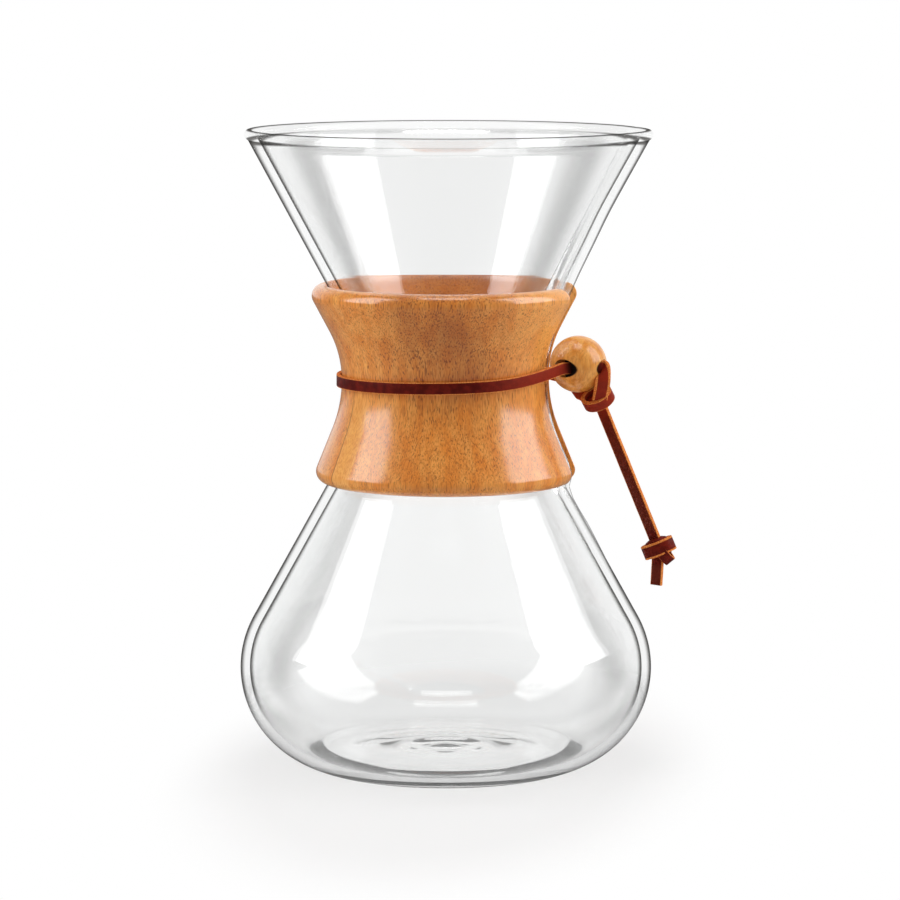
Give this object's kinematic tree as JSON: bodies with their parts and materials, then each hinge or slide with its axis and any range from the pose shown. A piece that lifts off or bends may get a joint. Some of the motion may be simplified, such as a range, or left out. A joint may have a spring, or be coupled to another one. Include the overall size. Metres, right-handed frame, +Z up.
{
  "type": "pour-over coffee maker",
  "caption": "Hourglass pour-over coffee maker: a clear glass funnel and flask in one piece, with a split wood collar tied round the neck by a leather lace with a wood bead.",
  "frame": {"origin": "centre of the base on the table", "axes": "+Z up along the vessel's axis, +X towards the pouring flute and the bead, -Y towards the front collar half"},
  "size_m": [0.1391, 0.1314, 0.2041],
  "materials": {
    "glass": "clear polished",
    "collar_wood": "turned, satin varnish",
    "bead_wood": "turned, satin varnish",
    "lace_leather": "flat cut lace, waxed face, bare cut edges"
  },
  "bodies": {
    "vessel": {"glass_vessel": "glass"},
    "rear_half": {"collar_rear_half": "collar_wood", "lace_rear_strand": "lace_leather"},
    "front_half": {"collar_front_half": "collar_wood", "lace_front_strand": "lace_leather", "lace_upper_knot": "lace_leather"},
    "bead": {"wood_bead": "bead_wood"},
    "hanging_lace": {"lace_hanging_strap": "lace_leather", "lace_end_knot": "lace_leather", "lace_tail": "lace_leather"}
  },
  "joints": [
    {"name": "rear_half_slide", "type": "slide", "parent": "vessel", "child": "rear_half", "axis": [0, 1, 0], "range_m": [0, 0.042]},
    {"name": "front_half_hinge", "type": "hinge", "parent": "rear_half", "child": "front_half", "pos_m": [-0.0425, 0, 0.1254], "axis": [0, 0, -1], "range_deg": [0, 100]},
    {"name": "bead_turn", "type": "hinge", "parent": "front_half", "child": "bead", "pos_m": [0.04416, -0.00535, 0.12944], "axis": [0.9379, 0.3469, 0], "range_deg": [0, 75]},
    {"name": "hanging_lace_swing", "type": "hinge", "parent": "front_half", "child": "hanging_lace", "pos_m": [0.05012, -0.0008, 0.11542], "axis": [1, 0, 0], "range_deg": [-60, 60]}
  ],
  "couplings": [
    {"joint": "rear_half_slide", "follows": "front_half_hinge", "m_per_rad": 0.024}
  ]
}
